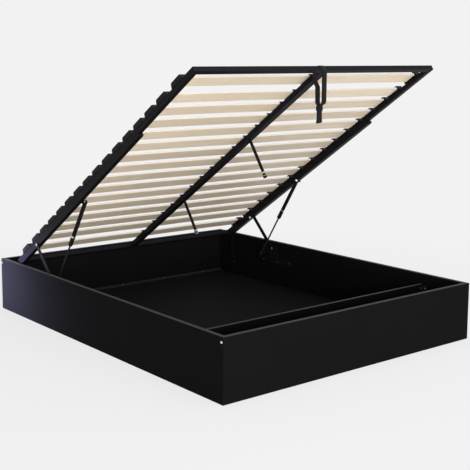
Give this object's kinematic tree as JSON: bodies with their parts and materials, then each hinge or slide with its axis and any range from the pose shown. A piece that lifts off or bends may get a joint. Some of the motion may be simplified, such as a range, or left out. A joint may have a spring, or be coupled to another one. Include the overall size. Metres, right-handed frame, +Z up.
{
  "type": "storage bed",
  "caption": "Low storage bed on the floor whose slatted steel frame lifts at the foot end on paired links and gas struts, with a pull strap and a lidless well below.",
  "frame": {"origin": "on the floor under the middle of the box", "axes": "+X to the right seen from the foot end, +Y from the foot end to the head end, +Z up"},
  "size_m": [1.656, 2.06, 1.4218],
  "materials": {
    "black_laminate": "black melamine laminate on board, satin",
    "floor_laminate": "black hardboard, matt",
    "batten_wood": "raw softwood",
    "strip_wood": "dark grey strip, matt",
    "black_steel": "black powder coat, semi-gloss",
    "zinc_steel": "bright zinc plating",
    "strut_rod": "ground and black nitrided, glossy",
    "slat_wood": "pale birch plywood, lacquered",
    "black_plastic": "moulded black plastic, matt",
    "black_rubber": "moulded rubber, matt",
    "webbing": "woven black webbing"
  },
  "bodies": {
    "storage_box": {"left_side_panel": "black_laminate", "right_side_panel": "black_laminate", "foot_panel": "black_laminate", "head_panel": "black_laminate", "left_floor_board": "floor_laminate", "right_floor_board": "floor_laminate", "floor_battens": "batten_wood", "floor_strip": "strip_wood", "cross_board": "black_laminate", "cross_board_brackets": "zinc_steel", "corner_bolts": "zinc_steel", "left_base_plate": "black_steel", "right_base_plate": "black_steel", "rear_base_plates": "black_steel", "base_plate_screws": "zinc_steel", "base_pivot_pins": "zinc_steel"},
    "front_links": {"left_front_link": "black_steel", "right_front_link": "black_steel"},
    "lift_frame": {"left_side_rail": "black_steel", "right_side_rail": "black_steel", "foot_tube": "black_steel", "head_tube": "black_steel", "centre_rail": "black_steel", "left_lift_arm": "black_steel", "right_lift_arm": "black_steel", "arm_pivot_pins": "zinc_steel", "slat_row_01": "slat_wood", "slat_row_02": "slat_wood", "slat_row_03": "slat_wood", "slat_row_04": "slat_wood", "slat_row_05": "slat_wood", "slat_row_06": "slat_wood", "slat_row_07": "slat_wood", "slat_row_08": "slat_wood", "slat_row_09": "slat_wood", "slat_row_10": "slat_wood", "slat_row_11": "slat_wood", "slat_row_12": "slat_wood", "slat_row_13": "slat_wood", "slat_row_14": "slat_wood", "slat_row_15": "slat_wood", "slat_row_16": "slat_wood", "left_slat_caps": "black_plastic", "right_slat_caps": "black_plastic", "centre_slat_caps": "black_plastic", "centre_legs": "black_steel", "leg_collars": "zinc_steel", "leg_feet": "black_rubber"},
    "rear_links": {"left_rear_link": "black_steel", "right_rear_link": "black_steel"},
    "strut_cylinders": {"left_strut_cylinder": "black_steel", "right_strut_cylinder": "black_steel"},
    "strut_rods": {"left_strut_rod": "strut_rod", "right_strut_rod": "strut_rod"},
    "pull_strap": {"pull_strap": "webbing", "strap_buckle": "black_plastic"}
  },
  "joints": [
    {"name": "front_link_swing", "type": "hinge", "parent": "storage_box", "child": "front_links", "pos_m": [0, 0.46722, 0.25], "axis": [1, 0, 0], "range_deg": [-48.81, 0]},
    {"name": "frame_lift", "type": "hinge", "parent": "front_links", "child": "lift_frame", "pos_m": [0, 0.64695, 0.43327], "axis": [1, 0, 0], "range_deg": [0, 82.6]},
    {"name": "rear_link_swing", "type": "hinge", "parent": "storage_box", "child": "rear_links", "pos_m": [0, 0.86997, 0.125], "axis": [1, 0, 0], "range_deg": [-48.07, 0]},
    {"name": "strut_swing", "type": "hinge", "parent": "lift_frame", "child": "strut_cylinders", "pos_m": [0, 0.19412, 0.72197], "axis": [1, 0, 0], "range_deg": [0, 21.56]},
    {"name": "rod_slide", "type": "slide", "parent": "strut_cylinders", "child": "strut_rods", "axis": [0, -0.5427, 0.8399], "range_m": [0, 0.26962]},
    {"name": "strap_swing", "type": "hinge", "parent": "lift_frame", "child": "pull_strap", "pos_m": [0, -0.7638, 1.40235], "axis": [1, 0, 0], "range_deg": [-8, 20]}
  ],
  "couplings": [
    {"joint": "front_link_swing", "follows": "frame_lift", "ratio": -0.59079},
    {"joint": "rear_link_swing", "follows": "frame_lift", "ratio": -0.58178},
    {"joint": "strut_swing", "follows": "frame_lift", "ratio": 0.26082},
    {"joint": "rod_slide", "follows": "frame_lift", "m_per_rad": 0.18689}
  ]
}
